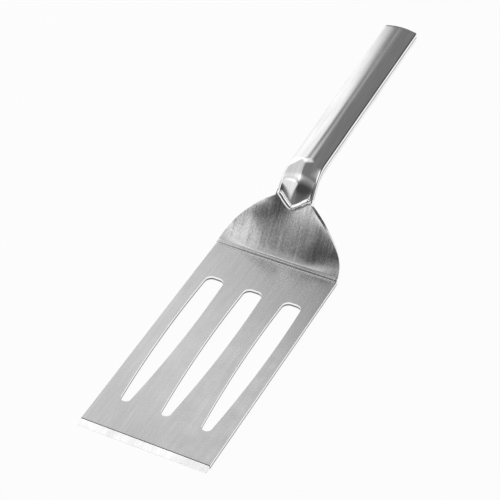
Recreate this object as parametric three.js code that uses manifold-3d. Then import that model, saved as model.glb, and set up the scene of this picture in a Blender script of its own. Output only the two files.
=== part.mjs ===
// Slotted spatula: a stamped steel blade welded to a hollow handle of two drawn shells.
// Millimetres, +Z up, +X from the blade towards the handle, +Y to the left.
// The part rests on the underside of the blade, and the origin is below the middle of its length.

import * as THREE from 'three';
import { mergeVertices } from 'three/addons/utils/BufferGeometryUtils.js';
import Module from 'manifold-3d';

// Sheet of the blade
const SHEET = 2.5;
const BLADE_WIDTH = 76.2;
const BLADE_LENGTH = 159.2;
const BEVEL_LENGTH = 3.5;
const BEVEL_LIP = 0.4;

// Slots, measured from the crease
const SLOT_COUNT = 3;
const SLOT_PITCH = 24.2;
const SLOT_SETBACK = 26.3;
const SLOT_LENGTH = 108.4;
const SLOT_BACK_WIDTH = 11.4;
const SLOT_MIDDLE_WIDTH = 12;
const SLOT_FRONT_WIDTH = 6;
const SLOT_CORNER = 4.2;

// Shoulder, neck and tang, bent up from the blade; angles in degrees
const CREASE_RADIUS = 2;
const SHOULDER_ANGLE = 52.5;
const SHOULDER_LENGTH = 31.1;
const SHOULDER_FULLNESS = 1.8;
const NECK_WIDTH = 22.4;
const NECK_REACH = 4;
const TROUGH_DEPTH = 5.7;
const TROUGH_POWER = 1.6;
const TROUGH_ONSET = 2.2;
const NECK_BEND_RADIUS = 27;
const TANG_WIDTH = 11;
const TANG_LENGTH = 30;

// Hollow handle
const HANDLE_RISE = 3.4;
const HANDLE_LENGTH = 154.5;
const HANDLE_FRONT_WIDTH = 19.8;
const HANDLE_BACK_WIDTH = 20.8;
const HANDLE_DEPTH = 13.2;
const HANDLE_CROWN = 1.5;
const FLANK_HEIGHT = 5;
const EDGE_ROUND = 1.2;
const NOSE_ANGLE = 50;
const NOSE_RADIUS = 17;
const BUTT_ROUND = 3;
const BUTT_ARCH = 0.6;
const WALL = 0.9;

// Welds, and the clearance between neighbouring pieces
const SEAM_BEAD = 0.8;
const NECK_BEAD_RADIUS = 1.3;
const NECK_BEAD_SET = 0.6;
const GAP = 0.3;

// Fineness of the facets
const SHEET_COLUMNS = 16;
const CREASE_STEPS = 3;
const SHOULDER_STEPS = 8;
const BEND_STEPS = 5;
const SECTION_STEPS = 12;
const NOSE_STEPS = 8;
const STRAIGHT_STEPS = 2;
const BUTT_STEPS = 3;
const SLOT_STEPS = 8;
const BEAD_STEPS = 18;
const BEAD_SIDES = 8;

const { lerp, clamp, degToRad } = THREE.MathUtils;
const smooth = (t) => t * t * (3 - 2 * t);
const steps = (from, to, count) => Array.from({ length: count }, (_, i) => lerp(from, to, (i + 1) / count));

// Solids for joining and cutting

const wasm = await Module();
wasm.setup();

function toSolid(geometry) {
  geometry.deleteAttribute('normal');
  geometry.deleteAttribute('uv');
  const merged = mergeVertices(geometry, 1e-4);
  return new wasm.Manifold(new wasm.Mesh({
    numProp: 3,
    vertProperties: new Float32Array(merged.attributes.position.array),
    triVerts: new Uint32Array(merged.index.array),
  }));
}

function toGeometry(solid) {
  const { vertProperties, triVerts } = solid.getMesh();
  const geometry = new THREE.BufferGeometry();
  geometry.setAttribute('position', new THREE.BufferAttribute(new Float32Array(vertProperties), 3));
  geometry.setIndex(new THREE.BufferAttribute(new Uint32Array(triVerts), 1));
  geometry.computeVertexNormals();
  return geometry;
}

// A closed body through rings of points along +X, each ring counter-clockwise as seen from +X.
function loft(rings) {
  const count = rings[0].length;
  const faces = [];
  for (let i = 0; i + 1 < rings.length; i += 1) {
    for (let j = 0; j < count; j += 1) {
      const a = i * count + j;
      const b = i * count + ((j + 1) % count);
      faces.push(a, b, a + count, b, b + count, a + count);
    }
  }
  const cap = (ring) => THREE.ShapeUtils.triangulateShape(ring.map((p) => new THREE.Vector2(p.y, p.z)), []);
  const last = (rings.length - 1) * count;
  cap(rings[0]).forEach(([a, b, c]) => faces.push(a, c, b));
  cap(rings.at(-1)).forEach(([a, b, c]) => faces.push(last + a, last + b, last + c));
  const geometry = new THREE.BufferGeometry().setFromPoints(rings.flat());
  geometry.setIndex(faces);
  return toSolid(geometry);
}

function boxSolid(x0, x1, y0, y1, z0, z1) {
  const box = new THREE.BoxGeometry(x1 - x0, y1 - y0, z1 - z0);
  return toSolid(box.translate((x0 + x1) / 2, (y0 + y1) / 2, (z0 + z1) / 2));
}

// Side view of the raised sheet: its upper face from the crease to the end of the tang, by distance along it

const shoulderTilt = degToRad(SHOULDER_ANGLE);
const handleTilt = degToRad(HANDLE_RISE);
const noseTilt = degToRad(NOSE_ANGLE);
const creaseEnd = CREASE_RADIUS * shoulderTilt;
const bendStart = creaseEnd + SHOULDER_LENGTH;
const bendEnd = bendStart + NECK_BEND_RADIUS * (shoulderTilt - handleTilt);
const tangEnd = bendEnd + TANG_LENGTH;
const neckEnd = bendStart + NECK_REACH;

function sheetLine(s) {
  const line = { x: Math.min(s, 0), z: SHEET, tilt: 0 };
  const bend = (length, radius) => {
    const before = line.tilt;
    line.tilt += length / radius;
    line.x += radius * (Math.sin(line.tilt) - Math.sin(before));
    line.z += radius * (Math.cos(before) - Math.cos(line.tilt));
  };
  const run = (length) => {
    line.x += length * Math.cos(line.tilt);
    line.z += length * Math.sin(line.tilt);
  };
  bend(clamp(s, 0, creaseEnd), CREASE_RADIUS);
  run(clamp(s, creaseEnd, bendStart) - creaseEnd);
  bend(clamp(s, bendStart, bendEnd) - bendStart, -NECK_BEND_RADIUS);
  run(Math.max(s, bendEnd) - bendEnd);
  return line;
}

// The shoulder narrows from the full blade to the neck, and deepens across into a trough.

function sheetHalfWidth(s) {
  return lerp(BLADE_WIDTH, NECK_WIDTH, clamp(s / neckEnd, 0, 1) ** SHOULDER_FULLNESS) / 2;
}

function sheetPoint(s, y) {
  const { x, z, tilt } = sheetLine(s);
  const onset = clamp(s / neckEnd, 0, 1) ** TROUGH_ONSET;
  const rise = onset * TROUGH_DEPTH * Math.abs((2 * y) / NECK_WIDTH) ** TROUGH_POWER;
  return new THREE.Vector3(x - rise * Math.sin(tilt), y, z + rise * Math.cos(tilt));
}

function sheetNormal(s, y) {
  const step = 0.01;
  const along = sheetPoint(s + step, y).sub(sheetPoint(s - step, y));
  const across = sheetPoint(s, y + step).sub(sheetPoint(s, y - step));
  return along.cross(across).normalize();
}

// Distance along the sheet at which its upper face passes a given x.
function sheetStation(x, y) {
  let low = creaseEnd;
  let high = tangEnd + HANDLE_LENGTH;
  for (let halving = 0; halving < 40; halving += 1) {
    const middle = (low + high) / 2;
    if (sheetPoint(middle, y).x < x) low = middle;
    else high = middle;
  }
  return low;
}

const sheetHeight = (x, y) => sheetPoint(sheetStation(x, y), y).z;

// The sheet along a list of stations, grown by a margin on both faces and both sides.
function sheetBody(stations, halfWidth, margin) {
  const rings = stations.map((s) => {
    const half = halfWidth(s) + margin;
    const columns = [1, ...steps(1, -1, SHEET_COLUMNS)].map((t) => t * half);
    const face = (y, height) => sheetPoint(s, y).addScaledVector(sheetNormal(s, y), height);
    const upper = columns.map((y) => face(y, margin));
    const lower = columns.map((y) => face(y, -SHEET - margin)).reverse();
    return [...upper, ...lower];
  });
  return loft(rings);
}

const raisedStations = [
  -SHEET,
  0,
  ...steps(0, creaseEnd, CREASE_STEPS),
  ...steps(creaseEnd, bendStart, SHOULDER_STEPS),
  ...steps(bendStart, bendEnd, BEND_STEPS),
  tangEnd,
];

// Blade

const mouthX = sheetLine(bendStart).x;
const handleEnd = mouthX + HANDLE_LENGTH;

function slotShape(y) {
  const back = -SLOT_SETBACK - SLOT_CORNER;
  const front = -SLOT_SETBACK - SLOT_LENGTH + SLOT_FRONT_WIDTH / 2;
  const middle = (back + front) / 2;
  const backHalf = SLOT_BACK_WIDTH / 2;
  const frontHalf = SLOT_FRONT_WIDTH / 2;
  const belly = SLOT_MIDDLE_WIDTH - (backHalf + frontHalf) / 2;
  const corner = backHalf - SLOT_CORNER;
  const shape = new THREE.Shape();
  shape.moveTo(back, y + backHalf);
  shape.quadraticCurveTo(middle, y + belly, front, y + frontHalf);
  shape.absarc(front, y, frontHalf, Math.PI / 2, 1.5 * Math.PI);
  shape.quadraticCurveTo(middle, y - belly, back, y - backHalf);
  shape.absarc(back, y - corner, SLOT_CORNER, -Math.PI / 2, 0);
  shape.absarc(back, y + corner, SLOT_CORNER, 0, Math.PI / 2);
  return shape;
}

function slotCutter(y) {
  const options = { depth: 3 * SHEET, bevelEnabled: false, curveSegments: SLOT_STEPS };
  return toSolid(new THREE.ExtrudeGeometry(slotShape(y), options).translate(0, 0, -SHEET));
}

function flatBlade() {
  const side = new THREE.Shape([
    new THREE.Vector2(0, 0),
    new THREE.Vector2(0, SHEET),
    new THREE.Vector2(BEVEL_LENGTH - BLADE_LENGTH, SHEET),
    new THREE.Vector2(-BLADE_LENGTH, BEVEL_LIP),
    new THREE.Vector2(-BLADE_LENGTH, 0),
  ]);
  const geometry = new THREE.ExtrudeGeometry(side, { depth: BLADE_WIDTH, bevelEnabled: false });
  const plate = toSolid(geometry.rotateX(Math.PI / 2).translate(0, BLADE_WIDTH / 2, 0));
  const places = Array.from({ length: SLOT_COUNT }, (_, i) => (i - (SLOT_COUNT - 1) / 2) * SLOT_PITCH);
  return places.reduce((solid, y) => solid.subtract(slotCutter(y)), plate);
}

// Behind the mouth of the handle only the tang goes on.
function besideTang(side) {
  const edges = [(side * TANG_WIDTH) / 2, side * BLADE_WIDTH].sort((a, b) => a - b);
  return boxSolid(mouthX - GAP, handleEnd, ...edges, 0, handleEnd);
}

const bladeSolid = flatBlade()
  .add(sheetBody(raisedStations, sheetHalfWidth, 0))
  .subtract(besideTang(1))
  .subtract(besideTang(-1));

// Handle: upright cross-sections from the mouth, where it fits round the neck, to the butt

const slantedSheet = SHEET / Math.cos(shoulderTilt);
const straightStart = sheetLine(bendEnd);
const straightKeel = (x) => straightStart.z - SHEET - GAP - WALL + (x - straightStart.x) * Math.tan(handleTilt);
const straightCrest = (x) => straightKeel(x) + HANDLE_DEPTH;
const mouthCrest = sheetHeight(mouthX, 0) + GAP + WALL;

// The sloped nose runs into the straight crest through an arc.
const noseSlope = Math.tan(noseTilt);
const noseMeet = mouthX + (straightCrest(mouthX) - mouthCrest) / (noseSlope - Math.tan(handleTilt));
const noseTangent = NOSE_RADIUS * Math.tan((noseTilt - handleTilt) / 2);
const noseArcStart = noseMeet - noseTangent * Math.cos(noseTilt);
const noseEnd = noseMeet + noseTangent * Math.cos(handleTilt);

const alongNose = (x) => clamp((x - mouthX) / (noseEnd - mouthX), 0, 1);
const bodyShare = (x) => smooth(alongNose(x));

function crestAt(x) {
  if (x <= noseArcStart) return mouthCrest + (x - mouthX) * noseSlope;
  if (x >= noseEnd) return straightCrest(x);
  const centerX = noseEnd + NOSE_RADIUS * Math.sin(handleTilt);
  const centerZ = straightCrest(noseEnd) - NOSE_RADIUS * Math.cos(handleTilt);
  return centerZ + Math.sqrt(NOSE_RADIUS ** 2 - (x - centerX) ** 2);
}

function keelAt(x) {
  return sheetHeight(x, 0) - lerp(slantedSheet, SHEET, bodyShare(x)) - GAP - WALL;
}

// At the sides, the upper edge and the foot of the flank rise from the rim of the neck.
const neckRise = sheetHeight(mouthX, NECK_WIDTH / 2) - sheetHeight(mouthX, 0);
const straightEdge = (x) => straightCrest(x) - HANDLE_CROWN;
const straightFoot = (x) => straightEdge(x) - FLANK_HEIGHT;
const edgeDrop = straightEdge(mouthX) - mouthCrest - neckRise;
const footDrop = straightFoot(mouthX) - keelAt(mouthX) - neckRise;
const edgeAt = (x) => straightEdge(x) - edgeDrop * (1 - alongNose(x)) ** 2;
const footAt = (x) => straightFoot(x) - footDrop * (1 - alongNose(x)) ** 2;

function handleHalfWidth(x) {
  const body = lerp(HANDLE_FRONT_WIDTH, HANDLE_BACK_WIDTH, (x - mouthX) / HANDLE_LENGTH);
  return lerp(NECK_WIDTH, body, bodyShare(x)) / 2;
}

const acrossShare = (x, y) => Math.min(Math.abs(y) / handleHalfWidth(x), 1);

function topAt(x, y) {
  const t = acrossShare(x, y) ** lerp(TROUGH_POWER, 2, bodyShare(x));
  return lerp(crestAt(x), edgeAt(x), t);
}

function bottomAt(x, y) {
  const t = acrossShare(x, y);
  const bowl = lerp(t ** TROUGH_POWER, 1 - Math.sqrt(1 - t * t), bodyShare(x));
  return lerp(keelAt(x), footAt(x), bowl);
}

const middleAt = (x, y) => (topAt(x, y) + bottomAt(x, y)) / 2;
const buttReach = HANDLE_BACK_WIDTH / 2;

// A ring of the handle at x, drawn in by inset; where the butt is rounded over, its depth is less.
function handleRing(x, inset, depthShare) {
  const half = handleHalfWidth(x) - inset;
  const round = Math.min(Math.max(EDGE_ROUND - inset, GAP), (edgeAt(x) - footAt(x)) / 3);
  const flat = half - round;
  const arch = BUTT_ARCH * smooth(clamp(1 - (handleEnd - x) / buttReach, 0, 1));
  const point = (y, z) => new THREE.Vector3(
    x - arch * (y / half) ** 2,
    y,
    lerp(middleAt(x, y), z, depthShare),
  );
  const across = [-1, ...steps(-1, 1, SECTION_STEPS)];
  const upper = across.map((t) => point(-t * flat, topAt(x, t * flat) - inset));
  const lower = across.map((t) => point(t * half, bottomAt(x, t * half) + inset));
  const shoulder = topAt(x, flat) - inset - round;
  return [...upper, point(-half, shoulder), ...lower, point(half, shoulder)];
}

function handleBody(start, inset) {
  const end = handleEnd - inset;
  const round = Math.max(BUTT_ROUND - inset, GAP);
  const stations = [
    start,
    ...steps(start, noseEnd, NOSE_STEPS),
    ...steps(noseEnd, handleEnd - buttReach, STRAIGHT_STEPS),
    ...steps(handleEnd - buttReach, end - round, BUTT_STEPS),
  ];
  const rings = stations.map((x) => handleRing(x, inset, 1));
  steps(0, Math.PI / 2, BUTT_STEPS).forEach((turn) => {
    const lost = round * (1 - Math.cos(turn));
    rings.push(handleRing(end - round * (1 - Math.sin(turn)), inset, 1 - (2 * lost) / HANDLE_DEPTH));
  });
  return loft(rings);
}

// The space from one height to another above the middle of the handle's depth.
function handleSlice(low, high) {
  const reach = NECK_WIDTH + HANDLE_BACK_WIDTH;
  const rings = [mouthX - WALL, ...steps(mouthX, noseEnd, NOSE_STEPS), handleEnd + WALL].map((x) => {
    const half = handleHalfWidth(x);
    const columns = [reach, half, ...steps(half, -half, SECTION_STEPS), -reach];
    const upper = columns.map((y) => new THREE.Vector3(x, y, middleAt(x, y) + high));
    const lower = columns.map((y) => new THREE.Vector3(x, y, middleAt(x, y) + low)).reverse();
    return [...upper, ...lower];
  });
  return loft(rings);
}

const tangStations = raisedStations.filter((s) => s > creaseEnd && s < tangEnd);
const tangPocket = sheetBody([...tangStations, tangEnd + GAP], () => TANG_WIDTH / 2, GAP);
const handleWall = handleBody(mouthX, 0).subtract(handleBody(mouthX - WALL, WALL)).subtract(tangPocket);
const seamHalf = SEAM_BEAD / 2;

// Weld beads at the neck, laid over and under the sheet just ahead of the mouth

function neckBead(side) {
  const height = side > 0 ? NECK_BEAD_SET : -SHEET - NECK_BEAD_SET;
  const rimLean = sheetNormal(bendStart, NECK_WIDTH / 2).y;
  const end = (NECK_WIDTH - NECK_BEAD_RADIUS) / 2 - height * rimLean;
  const points = [-end, ...steps(-end, end, BEAD_STEPS)].map((y) => {
    const lean = sheetNormal(bendStart, y).x;
    const s = sheetStation(mouthX - NECK_BEAD_SET - height * lean, y);
    return sheetPoint(s, y).addScaledVector(sheetNormal(s, y), height);
  });
  const round = new THREE.Shape().absarc(0, 0, NECK_BEAD_RADIUS, 0, 2 * Math.PI);
  const options = {
    steps: BEAD_STEPS,
    curveSegments: BEAD_SIDES,
    bevelEnabled: false,
    extrudePath: new THREE.CatmullRomCurve3(points),
  };
  return toSolid(new THREE.ExtrudeGeometry(round, options))
    .subtract(sheetBody(raisedStations, sheetHalfWidth, GAP))
    .subtract(handleBody(mouthX - GAP, -GAP));
}

// Assembly

const brushedSteel = () => new THREE.MeshStandardMaterial({ color: 0xb9b9b9, roughness: 0.38, metalness: 1 });
const polishedSteel = () => new THREE.MeshStandardMaterial({ color: 0xd2d2d2, roughness: 0.1, metalness: 1 });
const groundWeld = () => new THREE.MeshStandardMaterial({ color: 0xdedede, roughness: 0.22, metalness: 1 });

const spatula = new THREE.Group();

function addPiece(name, solid, material) {
  const piece = new THREE.Mesh(toGeometry(solid), material);
  piece.name = name;
  spatula.add(piece);
}

addPiece('blade', bladeSolid, brushedSteel());
addPiece('handle_upper_shell', handleWall.intersect(handleSlice(seamHalf + GAP, HANDLE_DEPTH)), polishedSteel());
addPiece('handle_lower_shell', handleWall.intersect(handleSlice(-HANDLE_DEPTH, -seamHalf - GAP)), polishedSteel());
addPiece('seam_weld', handleWall.intersect(handleSlice(-seamHalf, seamHalf)), groundWeld());
addPiece('neck_weld_top', neckBead(1), groundWeld());
addPiece('neck_weld_bottom', neckBead(-1), groundWeld());

spatula.position.x = (BLADE_LENGTH - handleEnd) / 2;

export default spatula;
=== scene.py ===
"""Slotted spatula in steel.

A pressed blade, a hollow handle of two shells, and the weld beads that join them.
"""

import math

import bmesh
import bpy
from bpy.props import FloatProperty, FloatVectorProperty, PointerProperty
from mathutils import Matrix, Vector


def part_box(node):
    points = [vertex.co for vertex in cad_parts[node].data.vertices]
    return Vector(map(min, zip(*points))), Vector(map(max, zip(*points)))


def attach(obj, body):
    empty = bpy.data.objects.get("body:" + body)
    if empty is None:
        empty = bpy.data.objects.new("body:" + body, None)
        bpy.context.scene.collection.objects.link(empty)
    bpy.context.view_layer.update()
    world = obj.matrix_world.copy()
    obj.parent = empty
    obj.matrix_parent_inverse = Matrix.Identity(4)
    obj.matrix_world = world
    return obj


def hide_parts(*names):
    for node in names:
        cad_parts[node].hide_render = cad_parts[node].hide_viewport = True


bl_info = {
    "name": "Slotted Spatula",
    "version": (1, 0, 0),
    "blender": (4, 5, 0),
    "location": "View3D > Sidebar > Spatula",
    "description": "Models a steel slotted spatula around its construction frame",
    "category": "Add Mesh",
}

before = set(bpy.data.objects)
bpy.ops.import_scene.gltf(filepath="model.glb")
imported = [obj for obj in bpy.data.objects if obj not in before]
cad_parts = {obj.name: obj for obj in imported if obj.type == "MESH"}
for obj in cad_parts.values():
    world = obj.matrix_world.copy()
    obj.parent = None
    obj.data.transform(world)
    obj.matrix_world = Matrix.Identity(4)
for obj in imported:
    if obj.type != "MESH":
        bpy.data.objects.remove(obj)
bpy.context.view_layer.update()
BLADE_LOW, BLADE_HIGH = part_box("blade")
SHELL_LOW, SHELL_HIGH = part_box("handle_upper_shell")

MM = 0.001
BODY = "root"

# Fineness of the modelled surfaces, as counts of faces
SHEET_COLUMNS = 48
CREASE_ROWS = 10
RIDGE_ROWS = 14
SHOULDER_ROWS = 28
BEND_ROWS = 10
SLOT_END_STEPS = 14
SLOT_SIDE_STEPS = 24
NOSE_ROWS = 30
STRAIGHT_ROWS = 6
ARCH_ROWS = 5
BUTT_ROWS = 10
FLANK_STEPS = 4
EDGE_STEPS = 8
CROWN_STEPS = 40
BOWL_STEPS = 44
SEAM_TURN_STEPS = 24
BEAD_ROWS = 40
BEAD_SIDES = 20
ROUND_SEGMENTS = 4

# Angles between faces from which an edge is rounded, and up to which it is shaded as smooth
ROUND_ANGLE = math.radians(45)
SMOOTH_ANGLE = math.radians(28)

# Distance within which a vertex counts as being at a place, and within which two vertices are one
NEAR = 0.01 * MM
MERGE_DISTANCE = 0.001 * MM
# Small steps that slopes are worked out from, and halvings of the range in which a place is searched
SHEET_STEP = 0.01 * MM
CROWN_STEP = 0.2 * MM
BEAD_STEP = 0.05 * MM
HALVINGS = 50
# Most of the upper flank's height that the rounding of its edge may take up
EDGE_ROOM = 0.8
# Shares of its radius at which a slot's end and a bead's end stop short of a point
SLOT_TIP = 0.002
BEAD_TIP = 0.04
# Gap between the floor and the part, and the roughness of the floor
FLOOR_GAP = 0.05 * MM
FLOOR_ROUGHNESS = 0.9

# Kinds of grinding marks, each with how much it is shrunk along the tool to draw it out into lines
GRAIN_KINDS = {"Lines": 0.04, "Streaks": 0.08, "Blotches": 1}
GRAIN_DETAIL = 4
GRAIN_ROUGHNESS = 0.6
# Usual range of the sum of two kinds of marks, and the depth of the marks
GRAIN_SUM = (0.6, 1.4)
GRAIN_DEPTH = 0.02 * MM
# Marks per metre of each kind on a finish, and how far they change its colour, roughness and relief
FINISH_MARKS = {
    "brushed_steel": ((1100, 420, 90), 0.1, 0.08, 0.1),
    "polished_steel": ((1300, 450, 90), 0.14, 0.04, 0.05),
    # The seam bead is real, but its dark colour is painted shade that stands in for the shadowed floor seen
    # in the lower flank.
    "seam_painted_shade_steel": ((900, 300, 200), 0.2, 0.1, 0.1),
    "polished_weld": ((900, 300, 200), 0.1, 0.05, 0.05),
}
# Marks per metre of each kind on the shoulder, and the heights, in sheets, over which they set in
MOTTLE_COUNTS = (700, 700, 900)
MOTTLE_ONSET = (2, 3)
# Softness of the limits of the bevel's painted highlight, and of the painted shade on the burr and at the
# foot of the cut edges
LIMIT_SOFTNESS = 0.1 * MM
# Range of the normal's upward share over which a face goes from upright to sloping
UPRIGHT_RANGE = (0.3, 0.5)
# Share of the handle's length at which its polish begins to go dull
DULL_ONSET = 0.4

# Soft boxes: azimuth and elevation in degrees, then distance, width and height in metres, then brightness
# and the share of each side that its soft edge takes up
LAMPS = {
    "left_wall": (70, 27, 0.95, 1.42, 0.95, 0.87, 0.11),
    "left_front": (130.5, 25, 1.6, 1.4, 1.2, 0.7, 0.12),
    "overhead": (95, 58, 1.5, 2.4, 0.75, 0.5, 0.15),
    "front_edge": (143, 58, 1.06, 0.6, 0.5, 0.9, 0.5),
    "blade_fill": (31, 54.4, 0.68, 0.22, 0.26, 0.7, 0.3),
    "top": (-100, 70, 1.6, 1.4, 1.4, 1.2, 0.3),
    "crest_strip": (23, 44.5, 6, 0.5, 1.4, 0.19, 0.3),
}
# Middle of a soft box's face in its own coordinates
FACE_MIDDLE = 0.5
# Dark corners of the room, in degrees: azimuth and elevation of the middle, then how far from it the dark
# begins, and how far it is full
DARK_CORNERS = ((-38, 27, 26, 16), (176, 30, 21, 8))


def length(name, description, millimetres):
    """A property for a size in metres, written in millimetres."""
    return FloatProperty(
        name=name, description=description, default=millimetres * MM, unit="LENGTH", precision=5
    )


def angle(name, description, degrees):
    """A property for an angle, written in degrees."""
    return FloatProperty(name=name, description=description, default=math.radians(degrees), subtype="ANGLE")


def share(name, description, default):
    """A property for a plain number."""
    return FloatProperty(name=name, description=description, default=default, precision=3)


def grey(name, description, level):
    """A property for a neutral colour."""
    return FloatVectorProperty(
        name=name, description=description, default=(level,) * 3, subtype="COLOR", min=0, max=1
    )


class SpatulaBladeSizes(bpy.types.PropertyGroup):
    """Sizes of the flat, slotted part of the blade."""

    sheet: length("Sheet", "Thickness of the steel sheet", 2.5)
    length: length("Length", "Flat length from the front edge to the crease", 159.2)
    bevel_length: length("Bevel", "Length of the ground bevel at the front edge", 3.5)
    bevel_lip: length("Lip", "Thickness left at the front edge", 0.8)
    burr_width: length("Burr Width", "Width of the burr along the top of the bevel", 0.7)
    burr_height: length("Burr Height", "Height of the burr along the top of the bevel", 0.22)
    edge_round: length("Edge Round", "Radius of the polished edges", 0.4)
    # Painted shade and highlight on the blade's edges: the height and darkness of a painted shade band at
    # the foot of the cut edges, and how far the bevel and cut edges are brightened as painted highlight.
    painted_shade_band: length("Dull Band", "Height of the dull band at the foot of the cut edges", 1.2)
    painted_shade_level: share("Dull Level", "Brightness of the dull band beside the rest of the edge", 0.22)
    painted_highlight_level: share("Cut Level", "Brightness of the bevel and the cut edges beside the faces", 1.38)
    slot_pitch: length("Slot Pitch", "Distance between the middles of two slots", 24.2)
    slot_setback: length("Slot Setback", "Distance from the crease to the slots", 26.3)
    slot_length: length("Slot Length", "End-to-end length of a slot", 108.4)
    slot_back_width: length("Slot Back", "Width of a slot at its back end", 11.4)
    slot_middle_width: length("Slot Middle", "Width of a slot at half its length", 12)
    slot_front_width: length("Slot Front", "Width of a slot at its round front end", 6)
    slot_corner: length("Slot Corner", "Radius of the two back corners of a slot", 4.2)


class SpatulaNeckSizes(bpy.types.PropertyGroup):
    """Sizes of the raised part of the blade: crease, shoulder, dished neck and tang."""

    crease_radius: length("Crease Radius", "Inner radius of the whole bend at the crease", 2)
    fold_radius: length("Fold Radius", "Inner radius of the sharp fold at the foot of the bend", 1.4)
    fold_angle: angle("Fold Angle", "Slope that the sheet has right after the fold", 35)
    ease_radius: length("Ease Radius", "Radius from the fold to the straight of the shoulder", 26)
    ridge_width: length("Ridge Width", "Width of the fine ridge along the fold", 3)
    ridge_height: length("Ridge Height", "Height of the fine ridge along the fold", 0.45)
    shoulder_angle: angle("Shoulder Angle", "Slope of the shoulder", 52.5)
    shoulder_length: length("Shoulder Length", "Straight length of the shoulder", 31.1)
    fullness: share("Fullness", "How long the shoulder stays wide before it narrows", 1.95)
    wing_start: length("Wing Start", "Distance from the middle at which the wings turn down", 12)
    wing_sweep: share("Wing Sweep", "How fast the wings' start moves outwards along the shoulder", 0.42)
    wing_ease: length("Wing Ease", "Softness of the turn to the wings", 3)
    wing_onset: length("Wing Onset", "Distance from the crease over which the wings turn down", 16)
    wing_tilt: angle("Wing Tilt", "Slope of the wings across the shoulder", 10)
    width: length("Width", "Width of the neck at the handle", 22.4)
    reach: length("Reach", "Length of the neck past the end of the shoulder", 4)
    mouth_sweep: length("Mouth Sweep", "How far the mouth of the handle is swept back at its sides", 4.2)
    mouth_round: length("Mouth Round", "Roundness of the tip of the handle's mouth", 1.2)
    trough_depth: length("Trough Depth", "Depth of the dish across the neck", 2.2)
    trough_power: share("Trough Power", "Roundness of the dish, from a V at 1 to a bowl at 2", 1.6)
    trough_onset: share("Trough Onset", "How late the dish sets in along the shoulder", 5)
    bend_radius: length("Bend Radius", "Radius of the bend from the shoulder to the tang", 27)
    tang_width: length("Tang Width", "Width of the tang inside the handle", 11)
    tang_length: length("Tang Length", "Straight length of the tang", 30)


class SpatulaHandleSizes(bpy.types.PropertyGroup):
    """Sizes of the hollow handle and of the weld beads."""

    rise: angle("Rise", "Slope of the handle", 3.4)
    front_width: length("Front Width", "Width of the handle behind its nose", 19.8)
    back_width: length("Back Width", "Width of the handle at its butt", 20.8)
    depth: length("Depth", "Depth of the handle from crest to keel", 13.2)
    crown: length("Crown", "Height of the crest above the upper edges", 1.5)
    flank: length("Flank", "Height of the upright flanks", 5)
    edge_round: length("Edge Round", "Radius of the upper edges", 1.2)
    nose_angle: angle("Nose Angle", "Slope of the nose", 62)
    nose_radius: length("Nose Radius", "Radius from the nose to the crest", 23)
    mouth_power: share("Mouth Power", "Roundness of the mouth's edge, from a V at 1 to a bowl at 2", 1.3)
    butt_round: length("Butt Round", "Radius of the upper and lower edge of the butt", 3)
    butt_side_round: length("Butt Side Round", "Radius of the upright edges of the butt", 0.8)
    butt_arch: length("Butt Arch", "Bulge of the butt", 0.6)
    wall: length("Wall", "Thickness of the shells", 0.9)
    clearance: length("Clearance", "Gap between the tang and the shells", 0.3)
    seam_bead: length("Seam Bead", "Width of the bead between the two shells", 0.8)
    seam_proud: length("Seam Proud", "Height that the seam bead stands proud", 0.02)
    neck_bead_radius: length("Neck Bead Radius", "Radius of the beads at the neck", 1.7)
    neck_bead_lift: length("Neck Bead Lift", "Height of a neck bead's middle off the sheet", 1)
    neck_bead_lead: length("Neck Bead Lead", "Distance of a neck bead's middle from the mouth", 0.9)


class SpatulaFinish(bpy.types.PropertyGroup):
    """Colours and gloss of the steel."""

    blade_colour: grey("Blade", "Colour of the brushed blade", 0.70)
    handle_colour: grey("Handle", "Colour of the polished handle", 0.86)
    # Painted shade: the real seam bead is given a dark colour that stands in for the reflected shadow along
    # the lower flank.
    seam_painted_shade_colour: grey("Seam", "Colour of the seam along the handle", 0.12)
    weld_colour: grey("Weld", "Colour of the polished beads", 0.90)
    blade_roughness: share("Blade Roughness", "Roughness of the brushed blade", 0.26)
    shoulder_mottle: share("Shoulder Mottle", "Strength of the marks on the raised part of the blade", 0.5)
    handle_roughness: share("Handle Roughness", "Roughness of the polished handle", 0.09)
    butt_dullness: share("Butt Dullness", "Roughness that the handle gains towards its butt", 0.08)
    seam_roughness: share("Seam Roughness", "Roughness of the seam along the handle", 0.35)
    weld_roughness: share("Weld Roughness", "Roughness of the polished beads", 0.09)


class SpatulaStudio(bpy.types.PropertyGroup):
    """Camera, floor and lights."""

    azimuth: angle("Azimuth", "Direction of the camera round the part", -63.43)
    elevation: angle("Elevation", "Height of the camera above the horizon", 41.73)
    distance: length("Distance", "Distance from the camera to the point that it looks at", 1183)
    aim_forward: length("Aim Forward", "How far behind the crease the camera looks", 2.93)
    aim_left: length("Aim Left", "How far to the left the camera looks", 17.95)
    lens: share("Lens", "Focal length in millimetres on a sensor 36 mm wide", 148.37)
    floor_colour: grey("Floor", "Colour of the floor", 0.9)
    floor_size: length("Floor Size", "Side of the square floor", 3000)
    floor_glow: share("Floor Glow", "Share of plain white that the floor shows to the eye", 0.95)
    room_colour: grey("Room", "Colour of the room round the stage", 0.2)
    corner_colour: grey("Corner", "Colour of the dark corners of the room", 0.06)


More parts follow.
